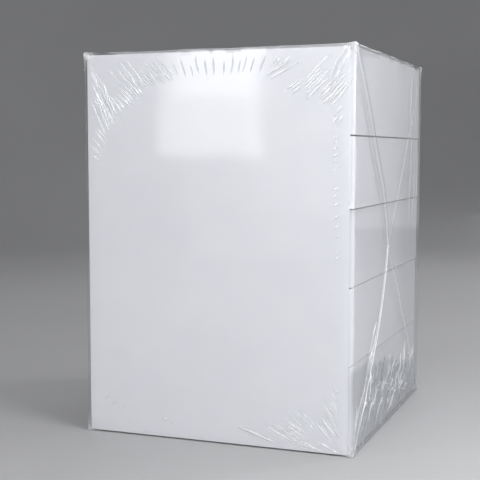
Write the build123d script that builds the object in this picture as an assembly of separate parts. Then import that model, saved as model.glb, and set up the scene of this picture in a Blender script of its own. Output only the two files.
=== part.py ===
from build123d import *
import os

# A standing stack of wrapped paper reams with a plain card over its front, sealed in clear shrink film.
# Millimetres. The origin is at the centre of the base, +Z is up and the card faces -Y.

# Reams, listed from the bottom of the stack to the top
REAM_WIDTH = 211.7  # along X, across the front
REAM_DEPTH = 232.5  # along Y, front to back
REAM_HEIGHTS = [64.9, 57.9, 56.5, 52.9, 63.2]
REAM_SHIFTS_X = [-0.8, -0.6, 0.1, 0.4, 0.8]  # how far each ream has slipped sideways
REAM_SHIFTS_Y = [0.3, -0.1, 0.4, -0.4, 0.0]  # and forwards (-) or backwards (+)
REAM_EDGE_RADIUS = 1.0  # the wrapper's folded edges

# Front card, which leans on the foremost ream
CARD_THICKNESS = 0.5
CARD_MARGIN = 0.6  # how far it stops short of the stack's left side, top and base
CARD_RIGHT_MARGIN = 2.6  # it leaves this strip of the reams bare beside the right corner

# Shrink film
FILM_WALL = 0.15
FILM_SLACK = 1.2  # air between the film and the stack, all round but below
FILM_CORNER_CLEARANCE = 0.1  # keeps the film's rounded edges off the bottom ream's


def stack_box():
    """Lowest and highest corners of the reams and card together, standing on the film's floor."""
    low = Vector(
        min(REAM_SHIFTS_X) - REAM_WIDTH / 2,
        min(REAM_SHIFTS_Y) - REAM_DEPTH / 2 - CARD_THICKNESS,
        FILM_WALL,
    )
    high = Vector(
        max(REAM_SHIFTS_X) + REAM_WIDTH / 2,
        max(REAM_SHIFTS_Y) + REAM_DEPTH / 2,
        FILM_WALL + sum(REAM_HEIGHTS),
    )
    return low, high


def block(low, high):
    """Plain block between two corners."""
    size = high - low
    return Pos(*((low + high) / 2)) * Box(size.X, size.Y, size.Z)


def ream(height, shift_x, shift_y, base_z):
    """One wrapped ream, standing with its base at base_z."""
    blank = Box(REAM_WIDTH, REAM_DEPTH, height)
    wrapped = fillet(blank.edges(), REAM_EDGE_RADIUS)
    return Pos(shift_x, shift_y, base_z + height / 2) * wrapped


def ream_stack():
    """The reams, each resting on the one below."""
    reams = []
    base_z = FILM_WALL
    for height, shift_x, shift_y in zip(REAM_HEIGHTS, REAM_SHIFTS_X, REAM_SHIFTS_Y):
        reams.append(ream(height, shift_x, shift_y, base_z))
        base_z += height
    return reams


def front_card():
    """Thin card that covers the front of the stack, all but a strip at its right corner."""
    low, high = stack_box()
    return block(
        Vector(low.X + CARD_MARGIN, low.Y, low.Z + CARD_MARGIN),
        Vector(high.X - CARD_RIGHT_MARGIN, low.Y + CARD_THICKNESS, high.Z - CARD_MARGIN),
    )


def shrink_film():
    """Closed skin of even wall, with the stack standing on its floor."""
    low, high = stack_box()
    slack_low = Vector(FILM_SLACK, FILM_SLACK, 0)
    slack_high = Vector(FILM_SLACK, FILM_SLACK, FILM_SLACK)
    wall = Vector(FILM_WALL, FILM_WALL, FILM_WALL)
    inside_low = low - slack_low
    inside_high = high + slack_high
    inside_radius = REAM_EDGE_RADIUS + FILM_SLACK - FILM_CORNER_CLEARANCE
    inside = block(inside_low, inside_high)
    outside = block(inside_low - wall, inside_high + wall)
    inside = fillet(inside.edges(), inside_radius)
    outside = fillet(outside.edges(), inside_radius + FILM_WALL)
    return outside - inside


def centred(piece):
    """Moves a piece so that the stack's and film's box is centred over the origin."""
    low, high = stack_box()
    return Pos(-(low.X + high.X) / 2, -(low.Y + high.Y) / 2, 0) * piece


def main():
    os.makedirs("parts", exist_ok=True)
    for number, piece in enumerate(ream_stack(), start=1):
        export_step(centred(piece), f"parts/ream_{number}.step")
    export_step(centred(front_card()), "parts/front_card.step")
    export_step(centred(shrink_film()), "parts/shrink_film.step")


main()
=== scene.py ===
"""A standing stack of wrapped paper reams with a plain card over its front, in clear shrink film."""
import math

import bmesh
import bpy
import numpy as np
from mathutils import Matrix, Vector
from mathutils.geometry import delaunay_2d_cdt


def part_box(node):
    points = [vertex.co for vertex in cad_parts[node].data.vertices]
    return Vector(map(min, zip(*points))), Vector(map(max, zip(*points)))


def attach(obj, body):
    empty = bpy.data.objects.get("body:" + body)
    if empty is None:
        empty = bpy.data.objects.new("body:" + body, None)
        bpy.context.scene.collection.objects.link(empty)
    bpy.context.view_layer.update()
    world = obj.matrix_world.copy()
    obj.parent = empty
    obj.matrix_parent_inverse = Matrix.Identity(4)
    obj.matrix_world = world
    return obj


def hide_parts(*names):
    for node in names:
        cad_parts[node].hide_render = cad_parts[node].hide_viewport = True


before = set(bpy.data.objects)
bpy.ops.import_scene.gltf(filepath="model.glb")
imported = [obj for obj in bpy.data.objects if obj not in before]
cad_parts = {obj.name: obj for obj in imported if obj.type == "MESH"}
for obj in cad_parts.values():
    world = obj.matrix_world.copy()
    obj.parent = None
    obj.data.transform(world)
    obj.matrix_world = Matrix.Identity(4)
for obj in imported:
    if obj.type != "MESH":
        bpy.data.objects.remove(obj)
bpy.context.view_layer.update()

MM = 0.001
BODY = "root"
REAM_NODES = sorted(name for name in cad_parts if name.startswith("ream_"))
FILM_LOW, FILM_HIGH = (np.array(corner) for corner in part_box("shrink_film"))

# An edge is the radius of a piece's edges. Each mesh has rows of points at an even spacing, and edge rows,
# which are closer, at the given distances from each edge.
REAM_EDGE = 0.4 * MM
REAM_SPACING = 6 * MM
REAM_EDGE_ROWS = (0.13 * MM, 0.27 * MM, REAM_EDGE)
CARD_EDGE = 0.2 * MM
CARD_SPACING = 8 * MM
CARD_EDGE_ROWS = (0.12 * MM, CARD_EDGE)
FILM_EDGE = 1.4 * MM
FILM_SPACING = 4.5 * MM
FILM_EDGE_ROWS = (0.5 * MM, 1.0 * MM, FILM_EDGE)
CREASE_MARGIN = 0.3 * MM  # the creases' own nets stop this far short of a side's border
WELD = 1e-6  # points of a net that are closer than this count as one

BULGE = 0.12 * MM  # unevenness of the reams' upright faces
RIM_DROP = 0.55 * MM  # the reams are a little crowned, so a narrow gap opens between their rims
RIM_WIDTH = 14 * MM

REAM_SEED = 40
FRONT_SEED, BACK_SEED, TOP_SEED = 11, 12, 13
END_SEEDS = {"right": 23, "left": 24}
CRUMPLE_SEED, EAR_SEED, EDGE_SEED = 31, 61, 62
SWELL_SEED, SLACK_SEED, FINE_SLACK_SEED = 5, 7, 8

# How far the loose parts of the film stand out
SWELL = 0.09 * MM
LOWER_FLAP = 0.5 * MM
UPPER_FLAP = 0.4 * MM
CRUMPLE_HEIGHT = 1.2 * MM
EAR_HEIGHT = 0.7 * MM
EDGE_CRINKLE = 0.22 * MM
EAR_REACH = 7 * MM  # how far the ears reach from the film's corners

# How much each part of the film puts into its diffuse layer, and how bright that layer is there, both from
# 0 to 1.
# The plain film, the ears and the two flaps are real milkiness of thin, stretched or doubled film. The
# crest and crumpled ridge entries are painted highlights; the flank, shaded patch and crumpled entries are
# painted shade, a dark reflection painted in; the far flap is doubled film with painted shade. Crests and
# flanks also have the amount of their own crease.
MILK_AND_PAINT = {
    "plain": (0.02, 0.8),
    # painted highlight along the creases' crests
    "crest": (1, 1),
    # painted shade down the creases' flanks, a dark reflection painted in
    "flank": (1, 0.15),
    "ear": (0.4, 0.9),
    "lower flap": (0.04, 0.4),
    "upper flap": (0.03, 0.5),
    # doubled film, darkened with painted shade
    "far flap": (0.11, 0.25),
    # painted shade by the crumpled part
    "painted shade patch": (0.22, 0.1),
    # painted shade over the crumpled part, a dark reflection painted in
    "crumpled": (0.34, 0.12),
    # painted highlight on the crumpled part's ridges
    "crumpled ridge highlight": (0.6, 1),
}

# Each side of the pack as seen from outside: the way it faces, its right and its up
SIDES = {
    "front": ((0, -1, 0), (1, 0, 0), (0, 0, 1)),
    "right": ((1, 0, 0), (0, 1, 0), (0, 0, 1)),
    "back": ((0, 1, 0), (-1, 0, 0), (0, 0, 1)),
    "left": ((-1, 0, 0), (0, -1, 0), (0, 0, 1)),
    "top": ((0, 0, 1), (1, 0, 0), (0, 1, 0)),
    "base": ((0, 0, -1), (1, 0, 0), (0, -1, 0)),
}


# ---------------------------------------------------------------- meshes

def box_rows(start, end, spacing, edge_rows):
    """Places along one side of a box: the given rows near each end, and even ones between them."""
    inner = max(edge_rows)
    count = max(1, round((end - start - 2 * inner) / spacing))
    middle = np.linspace(start + inner, end - inner, count + 1)
    return np.array([start, *(start + row for row in edge_rows[:-1]), *middle,
                     *(end - row for row in reversed(edge_rows[:-1])), end])


def box_mesh(name, low, high, spacing, edge_rows):
    """Closed box of welded quads."""
    rows = [box_rows(low[axis], high[axis], spacing, edge_rows) for axis in range(3)]
    last = [len(row) - 1 for row in rows]
    bm = bmesh.new()
    made = {}

    def vertex(key):
        if key not in made:
            made[key] = bm.verts.new([rows[axis][key[axis]] for axis in range(3)])
        return made[key]

    for fixed in range(3):
        u, v = [axis for axis in range(3) if axis != fixed]
        for side in (0, last[fixed]):
            outward = (side != 0) == (fixed != 1)
            for i in range(last[u]):
                for j in range(last[v]):
                    ring = [(i, j), (i + 1, j), (i + 1, j + 1), (i, j + 1)]
                    keys = []
                    for a, b in ring if outward else reversed(ring):
                        key = [side, side, side]
                        key[u], key[v] = a, b
                        keys.append(tuple(key))
                    bm.faces.new([vertex(key) for key in keys])
    mesh = bpy.data.meshes.new(name)
    bm.to_mesh(mesh)
    bm.free()
    return mesh


def places_of(mesh):
    places = np.empty(len(mesh.vertices) * 3)
    mesh.vertices.foreach_get("co", places)
    return places.reshape(-1, 3)


def set_places(mesh, places):
    mesh.vertices.foreach_set("co", np.ascontiguousarray(places, np.float32).ravel())
    mesh.update()


def rounded(points, low, high, radius):
    """Where the points of a box's surface go when its edges are rounded, and which way is out there."""
    core = np.clip(points, low + radius, high - radius)
    outward = points - core
    outward /= np.linalg.norm(outward, axis=1, keepdims=True)
    return core + radius * outward, outward


def ripple(points, wavelength, seed, stretch=(1, 1, 1)):
    """Smooth unevenness between about -1 and 1, the same each time for one seed."""
    wave_count = 9
    usual_peak = 3.2
    rng = np.random.default_rng(seed)
    total = np.zeros(len(points))
    for _ in range(wave_count):
        way = rng.normal(size=3) / np.array(stretch)
        way /= np.linalg.norm(way)
        waves = rng.uniform(0.7, 1.5) / wavelength
        total += np.cos(2 * math.pi * waves * (points @ way) + rng.uniform(0, 2 * math.pi))
    return total / usual_peak


def smooth_step(value, start, end):
    share = np.clip((value - start) / (end - start), 0, 1)
    return share * share * (3 - 2 * share)


def show(name, mesh, material, slot, *replaced):
    """Puts a finished mesh in the scene, in place of the CAD nodes it stands for."""
    piece = bpy.data.objects.new(name, mesh)
    bpy.context.scene.collection.objects.link(piece)
    mesh.materials.append(material)
    mesh.polygons.foreach_set("use_smooth", [True] * len(mesh.polygons))
    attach(piece, BODY)
    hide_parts(*replaced)


# ---------------------------------------------------------------- creases in the film

BORDER = 1.5  # millimetres at a side's border where no wrinkle runs
BOW = 0.03  # how far the wrinkles bend, as a share of their length


def cut_corners(path, times=2):
    """Rounds a path of straight runs and keeps its two ends."""
    path = np.asarray(path, float)
    for _ in range(times):
        cut = np.empty((2 * len(path) - 2, path.shape[1]))
        cut[0::2] = 0.75 * path[:-1] + 0.25 * path[1:]
        cut[1::2] = 0.25 * path[:-1] + 0.75 * path[1:]
        path = np.vstack([path[:1], cut[1:-1], path[-1:]])
    return path


def on_side(side, across, up):
    """A point on one side of the film's box, given in millimetres from the side's centre."""
    facing, right, upward = (np.array(way, float) for way in SIDES[side])
    centre = (FILM_LOW + FILM_HIGH) / 2
    half = (FILM_HIGH - FILM_LOW) / 2
    return centre + facing * half + (right * across + upward * up) * MM


def half_size(side):
    """Half the width and half the height of one side, in millimetres."""
    half = (FILM_HIGH - FILM_LOW) / 2 / MM
    _, right, upward = SIDES[side]
    return abs(np.dot(right, half)), abs(np.dot(upward, half))


class Crease:
    """A fold that stands out of the film along a path, narrow and low at its ends.

    Its points are in millimetres from the side's centre, and width is half the width of the fold. slope is
    how steep its flanks are at its middle. A small value of ends keeps it nearly even up to its ends. The
    last two amounts are the painted highlight along the crest and the painted shade down the flanks, put
    into the film's diffuse layer.
    """

    # places of the net's rows across the fold, in half widths
    narrow_rows = np.array([-1.3, -1, -0.8, -0.15, 0, 0.15, 0.8, 1, 1.3])
    wide_rows = np.linspace(-1.2, 1.2, 17)
    wide_from = 4 * MM
    net_step = 2.2 * MM
    narrowest = 0.15  # width at the two ends, as a share of the width at the middle

    def __init__(self, side, points, width, slope, ends=0.5, crest_highlight=0.4, flank_shade=0.16):
        self.side = side
        self.path = np.array([on_side(side, *point) for point in cut_corners(points)])
        self.width = width * MM
        self.height = slope * width * MM
        self.ends = ends
        self.crest_highlight = crest_highlight
        self.flank_shade = flank_shade
        steps = np.linalg.norm(np.diff(self.path, axis=0), axis=1)
        self.runs = np.concatenate([[0], np.cumsum(steps)])

    def fullness(self, shares):
        return np.sin(math.pi * np.clip(shares, 0, 1)) ** self.ends

    def half_width(self, shares):
        return self.width * (self.narrowest + (1 - self.narrowest) * self.fullness(shares))

    def net(self):
        """Rows of points along the crease, one for each place across it."""
        length = self.runs[-1]
        shares = np.linspace(0, 1, max(6, round(length / self.net_step)) + 1)
        line = np.column_stack([np.interp(shares * length, self.runs, values) for values in self.path.T])
        across = np.cross(SIDES[self.side][0], np.gradient(line, axis=0))
        across /= np.linalg.norm(across, axis=1, keepdims=True)
        width = self.half_width(shares)[:, None]
        rows = self.narrow_rows if self.width < self.wide_from else self.wide_rows
        return [line + across * width * place for place in rows]

    def near(self, points):
        low, high = self.path.min(0) - self.width, self.path.max(0) + self.width
        return np.flatnonzero(((points >= low) & (points <= high)).all(1))

    def nearest(self, points):
        """Distance from each point to the path, and how far along it, from 0 to 1."""
        gaps = np.full(len(points), np.inf)
        shares = np.zeros(len(points))
        for start, end, run in zip(self.path, self.path[1:], self.runs):
            step = end - start
            length = np.linalg.norm(step)
            along = np.clip((points - start) @ step / length, 0, length)
            gap = np.linalg.norm(points - start - along[:, None] * step / length, axis=1)
            closer = gap < gaps
            gaps[closer] = gap[closer]
            shares[closer] = (run + along[closer]) / self.runs[-1]
        return gaps, shares


def crease_effects(points, creases):
    """What all the creases together do at each point: the push outward, the painted highlight along the
    crests and the painted shade down the flanks.
    """
    push, crest_highlight, flank_shade = np.zeros((3, len(points)))
    for crease in creases:
        near = crease.near(points)
        if not len(near):
            continue
        gaps, shares = crease.nearest(points[near])
        full = crease.fullness(shares)
        place = np.clip(gaps / crease.half_width(shares), 0, 1)
        # crest is where the painted highlight goes, and flank where the painted shade goes
        crest = 1 - smooth_step(place, 0.1, 0.5)
        flank = smooth_step(place, 0.2, 0.55)
        foot = smooth_step(place, 0.75, 1)
        push[near] += crease.height * full * (1 - place)
        crest_highlight[near] += crease.crest_highlight * full * crest
        flank_shade[near] += crease.flank_shade * full * flank * (1 - foot)
    return push, crest_highlight, flank_shade


def film_net(creases, spacing, fine_points):
    """Closed box of triangles, with narrow nets along the creases and the given extra points."""
    rows = [box_rows(FILM_LOW[axis], FILM_HIGH[axis], spacing, FILM_EDGE_ROWS) for axis in range(3)]
    corners, triangles = [], []
    for side, (facing, _, _) in SIDES.items():
        fixed = int(np.argmax(np.abs(facing)))
        u, v = [axis for axis in range(3) if axis != fixed]
        flat = [(a, b) for a in rows[u] for b in rows[v]]
        flat += [tuple(point[[u, v]]) for point in fine_points.get(side, [])]
        lines = []
        low, high = FILM_LOW[[u, v]] + CREASE_MARGIN, FILM_HIGH[[u, v]] - CREASE_MARGIN
        for crease in creases:
            if crease.side != side:
                continue
            for row in crease.net():
                was_inside = False
                for point in row[:, [u, v]]:
                    inside = (point > low).all() and (point < high).all()
                    if inside and was_inside:
                        lines.append((len(flat) - 1, len(flat)))
                    if inside:
                        flat.append(tuple(point))
                    was_inside = inside
        points, _, faces, *_ = delaunay_2d_cdt([Vector(point) for point in flat], lines, [], 0, WELD)
        places = np.empty((len(points), 3), np.float32)
        places[:, [u, v]] = np.array([tuple(point) for point in points])
        places[:, fixed] = (FILM_HIGH if facing[fixed] > 0 else FILM_LOW)[fixed]
        outward = (facing[fixed] > 0) == (fixed != 1)
        ordered = np.array(faces)[:, :: 1 if outward else -1]
        triangles.append(ordered + sum(map(len, corners)))
        corners.append(places)
    corners, numbers = np.unique(np.vstack(corners), axis=0, return_inverse=True)
    mesh = bpy.data.meshes.new("film")
    mesh.from_pydata(corners.tolist(), [], numbers.reshape(-1)[np.vstack(triangles)].tolist())
    return mesh


def towards(start, end):
    return (end - start) / np.linalg.norm(end - start)


def wrinkle(side, inner, bow, outer, width, slope, crest_highlight, strength):
    """One short crease with a slight bow. Without a painted highlight on its crest it gets more painted
    shade down its flanks.
    """
    flank_shade = 0.08 if crest_highlight else 0.35
    return Crease(side, [inner, (inner + outer) / 2 + bow, outer], width, slope, 0.6, crest_highlight * strength,
                  flank_shade * strength)


def burst(side, rng, reach, arcs):
    """Shrink wrinkles that start at the border of a side's smooth middle, which is like a rounded oblong.

    They run outwards, and lean to the side's nearest corner. reach is half the middle's width and height,
    in millimetres. Each arc is (from, to, how many, length, start, depth, width, highlight, slope): its
    angles in degrees counted from the right, the wrinkles' mean length, how far beyond the border they
    start, how much further some of them do, their mean half width, how strong the painted highlight on
    their crests is and how steep they are.
    """
    squareness = 2.9
    shortest = 4
    lean_from, lean_full = 112, 70  # distances to the corner at which they begin to lean, and lean the most
    width, height = half_size(side)
    limit = np.array([width, height]) - BORDER
    creases = []
    for begin, end, count, mean_length, start, depth, mean_width, crest_highlight, slope in arcs:
        for number in range(count):
            angle = math.radians(begin + (end - begin) * (number + rng.uniform(0.1, 0.9)) / count)
            way = np.array([math.cos(angle), math.sin(angle)])
            border = (abs(way / reach) ** squareness).sum() ** (-1 / squareness) * way
            away = np.sign(border) * abs(border / reach) ** (squareness - 1) / reach
            away /= np.linalg.norm(away)
            lean = towards(0, way + 0.5 * away)
            corner = np.sign(border) * [width, height]
            distance = np.linalg.norm(corner - border)
            share = smooth_step(distance, lean_from, lean_full) * rng.uniform(0.4, 0.75)
            lean = towards(0, (1 - share) * lean + share * towards(border, corner))
            lean = towards(0, lean + rng.normal(0, 0.07) * np.array([-lean[1], lean[0]]))
            inner = border + lean * (start + rng.uniform(0, 1) * depth)
            length = mean_length * rng.uniform(0.5, 1.45)
            outer = np.clip(inner + lean * length, -limit, limit)
            if np.linalg.norm(outer - inner) < shortest or (abs(inner) > limit).any():
                continue
            bow = np.array([-lean[1], lean[0]]) * rng.normal(0, BOW) * length
            strength = rng.uniform(0.5, 1.4)
            creases.append(wrinkle(side, inner, bow, outer, mean_width * rng.uniform(0.7, 1.3),
                                   slope * rng.uniform(0.88, 1.12), crest_highlight, strength))
    return creases


# Rows of wrinkles round the smooth middle of the front, for streaks()
FRONT_ROWS = [
    # upper left: a steep bundle by the edge, shorter ones beside it, and a few below
    ((-89, 81), (-76, 96), (113, 117), (24, 40), 7, 1.1, 0.8, 0.43),
    ((-97, 104), (-88, 116), (113, 120), (8, 16), 3, 0.8, 0.6, 0.43),
    ((-74, 99), (-57, 119), (130, 137), (12, 24), 8, 1.15, 0.9, 0.38),
    ((-56, 118), (-39, 125), (137, 130), (10, 20), 7, 1.0, 0.9, 0.36),
    ((-80, 124), (-62, 137), (128, 134), (8, 14), 4, 0.9, 0.6, 0.38),
    ((-39, 121), (-30, 123), (132, 120), (16, 26), 3, 0.75, 0.2, 0.5),
    ((-93, 73), (-88, 82), (136, 130), (10, 15), 3, 1.0, 0.9, 0.43),
    ((-95, 62), (-92, 69), (138, 135), (10, 13), 2, 1.0, 0.9, 0.43),
    # thin dark ones along the top, with painted shade down their flanks and no painted highlight
    ((-30, 127), (38, 129), (117, 64), (11, 17), 12, 0.6, 0, 0.6),
    # upper right, steeper towards the corner
    ((34, 127), (43, 121), (30, 31), (22, 32), 2, 1.1, 0.8, 0.31),
    ((42, 133), (56, 134), (62, 50), (6, 10), 3, 0.8, 0.5, 0.34),
    ((54, 118), (61, 112), (34, 38), (12, 18), 3, 1.0, 0.8, 0.32),
    ((65, 119), (71, 108), (43, 45), (20, 30), 6, 0.9, 0.9, 0.34),
    ((77, 109), (88, 101), (47, 49), (20, 30), 7, 0.9, 0.9, 0.35),
    ((90, 97), (93, 88), (50, 56), (6, 12), 3, 0.9, 0.8, 0.38),
    # short ones down the right edge
    ((91, 84), (92, 56), (33, 40), (5, 9), 6, 0.9, 0.6, 0.38),
    ((91, 50), (94, -10), (30, 36), (4, 7), 8, 0.8, 0.5, 0.42),
    # lower right
    ((78, -125), (85, -117), (-47, -50), (14, 22), 5, 1.0, 0.9, 0.39),
    ((87, -113), (91, -105), (-51, -55), (10, 15), 4, 1.0, 0.9, 0.37),
    ((91, -102), (92, -94), (-50, -45), (6, 9), 2, 0.9, 0.8, 0.37),
    ((47, -129), (66, -111), (-36, -41), (14, 26), 6, 0.8, 0.6, 0.4),
    ((35, -130), (44, -126), (-28, -26), (18, 26), 2, 1.0, 0.6, 0.44),
    # lower left: hardly any
    ((-94, -116), (-73, -127), (235, 250), (3, 5), 3, 0.8, 0.8, 0.4),
    ((-45, -131), (-33, -134), (-50, -40), (3, 5), 2, 0.9, 0.9, 0.49),
    # more of them at the upper left, long ones
    ((-61, 109), (-52, 119), (124, 128), (24, 34), 3, 1.0, 0.6, 0.36),
    ((-45, 121), (-27, 127), (140, 134), (18, 27), 4, 1.0, 0.5, 0.33),
    # soft ones at the lower right, along the foot
    ((38, -131), (56, -122), (-26, -32), (22, 32), 4, 1.3, 0.45, 0.36),
    ((58, -139), (78, -136), (-22, -28), (16, 26), 3, 1.3, 0.45, 0.38),
]
# The back isn't known, so it has the same kind of wrinkles at all four of its corners
BACK_ARCS = [
    (20, 74, 34, 19, -6, 20, 0.95, 0.6, 0.37),
    (74, 106, 12, 13, 0, 3, 0.6, 0.3, 0.37),
    (106, 160, 34, 19, -6, 20, 0.95, 0.6, 0.37),
    (200, 250, 24, 15, 0, 18, 0.9, 0.6, 0.37),
    (285, 340, 24, 15, 0, 18, 0.9, 0.6, 0.37),
]
TOP_ARCS = [(corner - 30, corner + 30, 15, 17, -4, 14, 0.9, 0.5, 0.37) for corner in (45, 135, 225, 315)]


def streaks(side, rng, rows):
    """Wrinkles in rows, each row with one kind.

    Each row is (first, last, angles, lengths, count, width, highlight, slope): the places where its first
    and last wrinkles begin, in millimetres from the side's centre, the angles in degrees at which these two
    run, the range of lengths, how many there are, half their width, how strong the painted highlight on
    their crests is and how steep they are.
    """
    limit = np.array(half_size(side)) - BORDER
    creases = []
    for first, last, angles, lengths, count, width, crest_highlight, slope in rows:
        for number in range(count):
            share = (number + rng.uniform(0.2, 0.8)) / count
            angle = math.radians((1 - share) * angles[0] + share * angles[1] + rng.normal(0, 1.3))
            way = np.array([math.cos(angle), math.sin(angle)])
            length = rng.uniform(*lengths)
            inner = (1 - share) * np.array(first) + share * np.array(last)
            inner = inner + way * rng.uniform(0, 0.2) * length
            outer = np.clip(inner + way * length, -limit, limit)
            bow = np.array([-way[1], way[0]]) * rng.normal(0, BOW) * length
            strength = rng.uniform(0.7, 1.3)
            creases.append(wrinkle(side, inner, bow, outer, width * rng.uniform(0.75, 1.25),
                                   slope * rng.uniform(0.9, 1.1), crest_highlight, strength))
    return creases


def front_creases():
    return streaks("front", np.random.default_rng(FRONT_SEED), FRONT_ROWS) + [
        Crease("front", [(18, -134), (28, -135.5), (48, -143)], 2.2, 0.42, crest_highlight=0.8, flank_shade=0.1),
        Crease("front", [(104, 145), (96, 132), (91, 116)], 4.0, 0.25, crest_highlight=0.2, flank_shade=0.05),
        Crease("front", [(-104, 140), (-92, 118), (-80, 96)], 2.5, 0.2, crest_highlight=0.2),
        Crease("front", [(104, -143), (92, -122), (84, -104)], 3.0, 0.2, crest_highlight=0.15, flank_shade=0.05),
    ]


def plain_side_creases():
    """Wrinkles on the sides that are guessed: the back and the top."""
    back = burst("back", np.random.default_rng(BACK_SEED), np.array([90.0, 124.0]), BACK_ARCS)
    top = burst("top", np.random.default_rng(TOP_SEED), np.array(half_size("top")) - 20, TOP_ARCS)
    return back + top


# Each end is closed like a parcel: folds run in from its four corners and meet near its middle.
# Each is a list of (across, up) in millimetres from the end's centre, from the corner inwards. As seen
# from outside, near is on the end's left and far is on its right.
END_FOLDS = {
    "upper near": [(-116, 146), (-84, 110), (-48, 62), (-26, 39), (-10, -3)],
    "upper far": [(116, 146), (72, 93), (29, 42), (11, 23), (-10, -3)],
    "lower near": [(-116, -147), (-82, -112), (-48, -76), (-23, -38), (-10, -3)],
    "lower far": [(116, -147), (61, -79), (43, -61), (22, -35), (-10, -3)],
}
# Top of the crumpled part of the end, across and up in millimetres from the end's centre
CRUMPLE_TOP = np.array([(-118, -83), (-60, -91), (-16, -92), (18, -101), (50, -108), (118, -121)])


def side_view(points, side):
    """Where points lie on a side, across and up in millimetres from its centre, and how fully on it."""
    facing, right, upward = (np.array(way, float) for way in SIDES[side])
    half = (FILM_HIGH - FILM_LOW) / 2
    offset = points - (FILM_LOW + FILM_HIGH) / 2
    depth = half @ abs(facing) - offset @ facing
    return offset @ right / MM, offset @ upward / MM, smooth_step(depth, 1.5 * MM, 0.2 * MM)


def fold_line(across, near, far):
    """Height of the two folds that meet near the middle over each place across the end."""
    points = np.vstack([cut_corners(END_FOLDS[near]), cut_corners(END_FOLDS[far])[-2::-1]])
    return np.interp(across, points[:, 0], points[:, 1])


def end_masks(points, side):
    """How much each point lies in an end's lower flap, upper flap, far flap and crumpled part."""
    square_to_fold = 0.7  # the folds run at about 45 degrees, so they are nearer than they are straight up
    across, up, square = side_view(points, side)
    below = square_to_fold * (fold_line(across, "lower near", "lower far") - up)
    above = square_to_fold * (up - fold_line(across, "upper near", "upper far"))
    lower = smooth_step(below, -0.6, 0.6) * square
    upper = smooth_step(above, -3, 3) * square
    beyond = smooth_step(across, 10, 60) * (1 - lower) * (1 - upper) * square
    waves = 1.5 * np.sin(across / 6.1)
    top = np.interp(across, *CRUMPLE_TOP.T) + waves
    crumpled = smooth_step(top - up, -1, 3) * lower
    return lower, upper, beyond, crumpled


def crumple(points, side, seed):
    """Sharp-ridged creasing, as of film pushed together, whose ridges lean over to the side's right."""
    lean = 1.3 * np.outer(points[:, 2], SIDES[side][1])
    stretch = (1, 1, 1.6)
    large = 1 - abs(ripple(points - lean, 26 * MM, seed, stretch))
    small = 1 - abs(ripple(points - lean, 11 * MM, seed + 1, stretch))
    return 0.6 * large + 0.4 * small


def painted_shade_patch(points, side, lower, beyond):
    """How much each point lies in a patch of painted shade on an end, on the near side of its crumpled
    part.
    """
    _, up, square = side_view(points, side)
    return smooth_step(-84 - up, -1, 5) * smooth_step(up, -132, -104) * (1 - lower - beyond) * square


def leaning_ridge(side, rng, foot, length, lean, bend, widths, slopes, crest_highlight):
    """A ridge that runs up from its foot, at an angle in radians counted from straight up to the right."""
    tip = foot + length * np.array([math.sin(lean), math.cos(lean)])
    middle = (foot + tip) / 2 + rng.normal(0, bend, 2)
    return Crease(side, [foot, middle, tip], rng.uniform(*widths), rng.uniform(*slopes), crest_highlight=crest_highlight)


def end_creases(side):
    rng = np.random.default_rng(END_SEEDS[side])
    creases = [
        # Each fold's last two amounts are the painted highlight on its crest and the painted shade down its
        # flanks; the wide upper near fold is mostly a band of painted shade.
        Crease(side, END_FOLDS["upper near"], 8.0, 0.05, 0.3, crest_highlight=0, flank_shade=0.4),
        Crease(side, END_FOLDS["upper far"], 1.8, 0.3, 0.3, crest_highlight=0.2, flank_shade=0.25),
        Crease(side, END_FOLDS["lower near"], 0.9, 0.7, 0.2, crest_highlight=0.7, flank_shade=0.25),
        Crease(side, END_FOLDS["lower far"], 3.0, 0.2, 0.3, crest_highlight=0.3, flank_shade=0.3),
    ]
    # thin pleats beside the lower near fold
    fold = np.array(END_FOLDS["lower near"][:4])
    for _ in range(7):
        low, gap = rng.uniform(-132, -88), rng.uniform(3.5, 15)
        heights = low + rng.uniform(22, 46) * np.array([0, 0.5, 1])
        beside = np.interp(heights, fold[:, 1], fold[:, 0]) - gap * np.array([1, 1.1, 0.7])
        points = np.column_stack([beside, heights])
        creases.append(Crease(side, points, rng.uniform(0.6, 0.9), rng.uniform(0.3, 0.5), crest_highlight=0.6))
    # the lower near fold spreads out at its foot
    creases.append(Crease(side, [(-113, -141), (-110, -126), (-104, -112)], 2.0, 0.25, crest_highlight=0.6))
    # long ridges across the crumpled part
    for _ in range(14):
        foot = np.array([rng.uniform(-92, 90), rng.uniform(-142, -112)])
        length, lean = rng.uniform(14, 40), rng.uniform(0.3, 1.2)
        creases.append(leaning_ridge(side, rng, foot, length, lean, 2.5, (0.8, 1.6), (0.4, 0.8), 0.9))
    # soft folds down the far edge
    for _ in range(7):
        top = np.array([rng.uniform(80, 112), rng.uniform(60, 140)])
        length = rng.uniform(30, 80)
        creases.append(Crease(side, [top, top + [rng.uniform(-14, 2), -length / 2],
                                     top + [rng.uniform(-22, 4), -length]],
                              rng.uniform(3, 6), rng.uniform(0.04, 0.1), crest_highlight=0.1, flank_shade=0.2))
    # short ridges that cross the long ones
    for _ in range(22):
        foot = np.array([rng.uniform(-80, 95), rng.uniform(-138, -106)])
        length, lean = rng.uniform(9, 22), rng.choice([-1, 1]) * rng.uniform(0.8, 1.35)
        creases.append(leaning_ridge(side, rng, foot, length, lean, 1.2, (0.7, 1.2), (0.4, 0.7), 0.6))
    return creases


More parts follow.
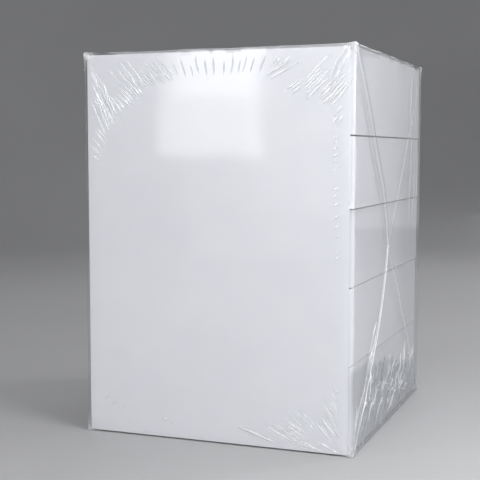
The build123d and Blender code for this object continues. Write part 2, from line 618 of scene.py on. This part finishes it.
def crumple_points(side):
    """A close lattice of points over the crumpled part of an end."""
    width, height = half_size(side)
    spacing, margin = 1.45, 4
    columns = np.arange(-width + margin, width - margin, spacing)
    points = []
    for number, up in enumerate(np.arange(-height + margin, CRUMPLE_TOP[:, 1].max() + margin, spacing)):
        shift = spacing / 2 * (number % 2)
        points += [on_side(side, across + shift, up) for across in columns]
    points = np.array(points)
    return points[end_masks(points, side)[3] > 0.02]


def puckers(points, outward):
    """How far the film stands out, in ears at its corners and crinkles on its edges, and where ears are."""
    corner = np.where(points > (FILM_LOW + FILM_HIGH) / 2, FILM_HIGH, FILM_LOW)
    distance = np.linalg.norm(points - corner, axis=1)
    ears = np.exp(-((distance / EAR_REACH) ** 2)) * (1 + 0.4 * ripple(points, 6 * MM, EAR_SEED))
    edge = smooth_step(np.sort(abs(outward), axis=1)[:, 1], 0.05, 0.6)
    return EAR_HEIGHT * ears + EDGE_CRINKLE * edge * (ripple(points, 17 * MM, EDGE_SEED) + 0.4), ears


def milk_and_paint_of(part, share):
    """How much a part puts into the film's diffuse layer where it has its share of it, and how bright: real
    milkiness for some parts, and painted highlight and painted shade for others.
    """
    amount, bright = MILK_AND_PAINT[part]
    return amount * share, bright


def film_piece(material):
    creases = front_creases() + plain_side_creases() + end_creases("right") + end_creases("left")
    mesh = film_net(creases, FILM_SPACING, {side: crumple_points(side) for side in END_SEEDS})
    flat = places_of(mesh)
    places, outward = rounded(flat, FILM_LOW, FILM_HIGH, FILM_EDGE)
    push, crest_highlight, flank_shade = crease_effects(flat, creases)
    pucker, ears = puckers(flat, outward)
    push += SWELL * ripple(flat, 90 * MM, SWELL_SEED) + pucker
    # the back and the top are a little slack
    slack = np.clip(outward[:, 1], 0, 1) + np.clip(outward[:, 2], 0, 1)
    push += slack * MM * (0.25 * ripple(flat, 60 * MM, SLACK_SEED)
                          + 0.06 * ripple(flat, 22 * MM, FINE_SLACK_SEED))
    above_floor = smooth_step(flat[:, 2] - FILM_LOW[2], 2 * MM, 16 * MM)
    # The creases add painted highlight along their crests and painted shade down their flanks; the plain
    # film and the ears are real milkiness.
    milk_and_paint_parts = [milk_and_paint_of("plain", 1), milk_and_paint_of("crest", crest_highlight), milk_and_paint_of("flank", flank_shade), milk_and_paint_of("ear", ears)]
    for side in END_SEEDS:
        lower, upper, beyond, crumpled = end_masks(flat, side)
        ridges = crumple(flat, side, CRUMPLE_SEED)
        push += LOWER_FLAP * lower + UPPER_FLAP * upper
        push += CRUMPLE_HEIGHT * crumpled * above_floor * ridges
        milk_and_paint_parts += [
            milk_and_paint_of("lower flap", lower),
            milk_and_paint_of("upper flap", upper),
            # painted shade on the doubled far flap
            milk_and_paint_of("far flap", beyond),
            # painted shade patch by the crumpled part
            milk_and_paint_of("painted shade patch", painted_shade_patch(flat, side, lower, beyond)),
            # painted shade over the crumpled part
            milk_and_paint_of("crumpled", crumpled),
            # painted highlight on the crumpled ridges
            milk_and_paint_of("crumpled ridge highlight", crumpled * smooth_step(ridges, 0.82, 0.96)),
        ]
    places += outward * push[:, None]
    places[:, 2] = np.maximum(places[:, 2], FILM_LOW[2])
    set_places(mesh, places)

    milk_and_paint_amount = sum(amount for amount, _ in milk_and_paint_parts)
    shade = sum(amount * bright for amount, bright in milk_and_paint_parts) / milk_and_paint_amount
    for name, values in (("milk_and_paint_amount", np.minimum(milk_and_paint_amount, 0.9)), ("shade", shade)):
        attribute = mesh.attributes.new(name, "FLOAT", "POINT")
        attribute.data.foreach_set("value", values.astype(np.float32))
    show("film", mesh, material, "film", "shrink_film")


# ---------------------------------------------------------------- paper

def ream_piece(node, seed, material):
    """A ream in its wrapper, with slightly uneven upright faces and a rim that drops a little."""
    low, high = (np.array(corner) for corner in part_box(node))
    mesh = box_mesh(node + "_wrapped", low, high, REAM_SPACING, REAM_EDGE_ROWS)
    flat = places_of(mesh)
    places, outward = rounded(flat, low, high, REAM_EDGE)
    uneven = BULGE * ripple(flat, 60 * MM, seed) - BULGE
    uneven *= 1 - abs(outward[:, 2])
    places += outward * uneven[:, None]
    inward = np.minimum(flat - low, high - flat)[:, :2].min(1)
    height = (places[:, 2] - (low[2] + high[2]) / 2) / (high[2] - low[2]) * 2
    rim = RIM_DROP * smooth_step(inward, RIM_WIDTH, 0) * smooth_step(abs(height), 0.9, 0.98)
    places[:, 2] -= np.sign(height) * rim
    set_places(mesh, places)
    show(node + "_wrapped", mesh, material, "paper", node)


def card_piece(material):
    low, high = (np.array(corner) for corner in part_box("front_card"))
    mesh = box_mesh("card", low, high, CARD_SPACING, CARD_EDGE_ROWS)
    places, _ = rounded(places_of(mesh), low, high, CARD_EDGE)
    set_places(mesh, places)
    show("card", mesh, material, "card", "front_card")


# ---------------------------------------------------------------- materials

def new_material(name):
    material = bpy.data.materials.new(name)
    material.use_nodes = True
    material.node_tree.nodes.clear()
    return material, material.node_tree.nodes, material.node_tree.links


def mottled_material(name, dark, light, roughness, clouds, grain, relief):
    """A matt surface with soft clouds between two colours, and a fine grain in relief.

    clouds and grain are a noise's (scale, detail), and relief is the grain's (strength, distance).
    """
    material, nodes, links = new_material(name)
    out = nodes.new("ShaderNodeOutputMaterial")
    shader = nodes.new("ShaderNodeBsdfPrincipled")
    shader.inputs["Roughness"].default_value = roughness
    where = nodes.new("ShaderNodeTexCoord")
    noises = []
    for scale, detail in (clouds, grain):
        noise = nodes.new("ShaderNodeTexNoise")
        noise.inputs["Scale"].default_value = scale
        noise.inputs["Detail"].default_value = detail
        links.new(where.outputs["Object"], noise.inputs["Vector"])
        noises.append(noise.outputs["Fac"])
    colours = nodes.new("ShaderNodeValToRGB")
    for element, position, colour in zip(colours.color_ramp.elements, (0.3, 0.7), (dark, light)):
        element.position = position
        element.color = (*colour, 1)
    bump = nodes.new("ShaderNodeBump")
    bump.inputs["Strength"].default_value, bump.inputs["Distance"].default_value = relief
    links.new(noises[0], colours.inputs["Fac"])
    links.new(colours.outputs["Color"], shader.inputs["Base Color"])
    links.new(noises[1], bump.inputs["Height"])
    links.new(bump.outputs["Normal"], shader.inputs["Normal"])
    links.new(shader.outputs["BSDF"], out.inputs["Surface"])
    return material


def paper_material(name, dark, light, roughness):
    return mottled_material(name, dark, light, roughness, (35, 4), (900, 3), (0.12, 0.1 * MM))


def film_material():
    """Clear film that reflects at both its faces, with a diffuse layer that the mesh's points set: real
    milkiness in places, and painted highlights and painted shade along the creases and on the ends.
    """
    face_on = 0.04  # share of light that one face reflects when it is seen square on
    material, nodes, links = new_material("clear_film")
    out = nodes.new("ShaderNodeOutputMaterial")

    def maths(operation, *values):
        node = nodes.new("ShaderNodeMath")
        node.operation = operation
        for socket, value in zip(node.inputs, values):
            if isinstance(value, (int, float)):
                socket.default_value = value
            else:
                links.new(value, socket)
        return node.outputs["Value"]

    def point_value(name):
        node = nodes.new("ShaderNodeAttribute")
        node.attribute_name = name
        return node.outputs["Fac"]

    def mixed(share, first, second):
        node = nodes.new("ShaderNodeMixShader")
        for socket, value in zip(node.inputs, (share, first, second)):
            links.new(value, socket)
        return node.outputs["Shader"]

    weight = nodes.new("ShaderNodeLayerWeight")
    weight.inputs["Blend"].default_value = 0.5
    grazing = maths("POWER", weight.outputs["Facing"], 5)
    one_face = maths("MULTIPLY_ADD", grazing, 1 - face_on, face_on)
    passed = maths("POWER", maths("SUBTRACT", 1, one_face), 2)
    reflected = maths("SUBTRACT", 1, passed)
    clear = nodes.new("ShaderNodeBsdfTransparent")
    clear.inputs["Color"].default_value = (0.985, 0.988, 0.99, 1)
    gloss = nodes.new("ShaderNodeBsdfGlossy")
    gloss.inputs["Roughness"].default_value = 0.07
    film = mixed(reflected, clear.outputs["BSDF"], gloss.outputs["BSDF"])
    # The ramp runs from a dark colour, painted shade standing for a dark reflection, to a light one for
    # real milkiness and painted highlights.
    milk_and_paint_colours = nodes.new("ShaderNodeValToRGB")
    milk_and_paint_colours.color_ramp.elements[0].color = (0.16, 0.18, 0.21, 1)
    milk_and_paint_colours.color_ramp.elements[1].color = (0.97, 0.975, 0.98, 1)
    links.new(point_value("shade"), milk_and_paint_colours.inputs["Fac"])
    milk_and_paint_layer = nodes.new("ShaderNodeBsdfDiffuse")
    links.new(milk_and_paint_colours.outputs["Color"], milk_and_paint_layer.inputs["Color"])
    film_with_milk_and_paint = mixed(point_value("milk_and_paint_amount"), film, milk_and_paint_layer.outputs["BSDF"])
    links.new(film_with_milk_and_paint, out.inputs["Surface"])
    return material


def stage_material():
    dark, light = (0.43, 0.43, 0.44), (0.475, 0.475, 0.48)
    return mottled_material("studio_sweep", dark, light, 0.6, (1.6, 5), (700, 2), (0.08, 0.2 * MM))


# ---------------------------------------------------------------- studio

def sweep():
    """A pale round floor that curves up into a wall all round the pack."""
    radius, bend, top = 2.3, 0.8, 2.6
    inner_ring = 0.4
    sunk = 0.2 * MM  # the floor is this far under the pack, so that the two never touch
    turns, bend_steps = 96, 12
    line = [(inner_ring, 0.0), (radius - bend, 0.0)]
    for step in range(1, bend_steps + 1):
        angle = math.pi / 2 * step / bend_steps
        line.append((radius - bend + bend * math.sin(angle), bend - bend * math.cos(angle)))
    line.append((radius, top))
    places, faces = [(0.0, 0.0, -sunk)], []
    for reach, height in line:
        for turn in range(turns):
            angle = math.tau * turn / turns
            places.append((reach * math.cos(angle), reach * math.sin(angle), height - sunk))
    for turn in range(turns):
        after = (turn + 1) % turns
        faces.append((0, 1 + turn, 1 + after))
        for row in range(len(line) - 1):
            start = 1 + row * turns
            faces.append((start + turn, start + turns + turn, start + turns + after, start + after))
    mesh = bpy.data.meshes.new("studio")
    mesh.from_pydata(places, [], faces)
    mesh.polygons.foreach_set("use_smooth", [True] * len(mesh.polygons))
    mesh.materials.append(stage_material())
    piece = bpy.data.objects.new("studio", mesh)
    bpy.context.scene.collection.objects.link(piece)


# What the lamps point at
FRONT_MIDDLE, BACK_MIDDLE = (0, -0.118, 0.15), (0, 0.118, 0.15)
RIGHT_MIDDLE, RIGHT_BACK = (0.1, 0, 0.15), (0.1, 0.1, 0.15)
BASE_MIDDLE = (0, 0, 0)
# Each lamp: its azimuth from the front, counted to the right, and its elevation, both in degrees as seen
# from its target; then its distance, its width and height, its radiance, and its target. Those round the
# front's mirror direction make thin bright lines on the film's creases, and the two window lamps make the
# bright patch on the front.
LAMPS = {
    "key": (9, 23, 1.1, (0.19, 0.42), 5.4, FRONT_MIDDLE),
    "upper_key": (2, 32, 1.1, (0.26, 0.24), 5.4, FRONT_MIDDLE),
    "low_key": (19, 7.5, 1.1, (0.30, 0.24), 3.8, FRONT_MIDDLE),
    "right_fill": (68, 29, 0.65, (0.32, 0.45), 6.8, FRONT_MIDDLE),
    "left_box": (-54, 13, 1.5, (0.16, 0.8), 6.5, FRONT_MIDDLE),
    "upper_left_box": (-44, 31, 1.5, (0.29, 0.24), 7.5, FRONT_MIDDLE),
    "side_box": (115, 26, 1.2, (0.8, 0.8), 1.2, RIGHT_BACK),
    "low_back_box": (165, 3, 1.7, (1.3, 0.42), 0.21, RIGHT_MIDDLE),
    "back_strip": (135, 20, 1.4, (0.14, 1.1), 8, RIGHT_MIDDLE),
    "back_box": (180, 35, 1.5, (1.0, 0.8), 1.2, BACK_MIDDLE),
    "top_box": (180, 80, 1.9, (1.6, 1.6), 1.3, BASE_MIDDLE),
    "front_box": (-13, 12, 1.05, (0.46, 0.70), 0.35, FRONT_MIDDLE),
    "front_inner_box": (-10, 14, 1.05, (0.32, 0.60), 0.35, FRONT_MIDDLE),
    "window": (-22.2, 9.8, 1.55, (0.24, 0.42), 2.4, FRONT_MIDDLE),
    "window_top": (-22.0, 12.5, 1.5, (0.20, 0.26), 1.7, FRONT_MIDDLE),
}


def area_light(name, azimuth, elevation, distance, size, radiance, target):
    """A rectangular lamp that lights the scene and shows in reflections, but not itself."""
    turn, rise = math.radians(azimuth), math.radians(elevation)
    way = Vector((math.sin(turn) * math.cos(rise), -math.cos(turn) * math.cos(rise), math.sin(rise)))
    light = bpy.data.lights.new(name, "AREA")
    light.shape = "RECTANGLE"
    light.size, light.size_y = size
    light.energy = radiance * math.pi * size[0] * size[1]
    lamp = bpy.data.objects.new(name, light)
    bpy.context.scene.collection.objects.link(lamp)
    lamp.location = Vector(target) + way * distance
    lamp.rotation_euler = (-way).to_track_quat("-Z", "Y").to_euler()
    lamp.visible_camera = False


def studio_lights():
    for name, lamp in LAMPS.items():
        area_light(name, *lamp)
    world = bpy.data.worlds.new("room")
    world.use_nodes = True
    world.node_tree.nodes["Background"].inputs["Color"].default_value = (0.08, 0.086, 0.10, 1)
    bpy.context.scene.world = world


def camera():
    """The eye is in front of the pack and to its right, at three quarters of its height."""
    eye = Vector((294.6, -837.75, 220.7)) * MM
    turn, dip = math.radians(20.81), math.radians(4.83)
    ahead = Vector((-math.sin(turn) * math.cos(dip), math.cos(turn) * math.cos(dip), -math.sin(dip)))
    data = bpy.data.cameras.new("camera")
    data.sensor_width = 36
    data.lens = 78.2
    eye_piece = bpy.data.objects.new("camera", data)
    bpy.context.scene.collection.objects.link(eye_piece)
    eye_piece.location = eye
    eye_piece.rotation_euler = ahead.to_track_quat("-Z", "Y").to_euler()
    bpy.context.scene.camera = eye_piece


wrapper = paper_material("ream_wrapper", (0.80, 0.81, 0.86), (0.83, 0.84, 0.885), 0.55)
coated_card = paper_material("coated_card", (0.83, 0.84, 0.885), (0.85, 0.86, 0.90), 0.45)
for number, node in enumerate(REAM_NODES):
    ream_piece(node, REAM_SEED + number, wrapper)
card_piece(coated_card)
film_piece(film_material())
sweep()
studio_lights()
camera()
bpy.context.scene.view_settings.view_transform = "Standard"
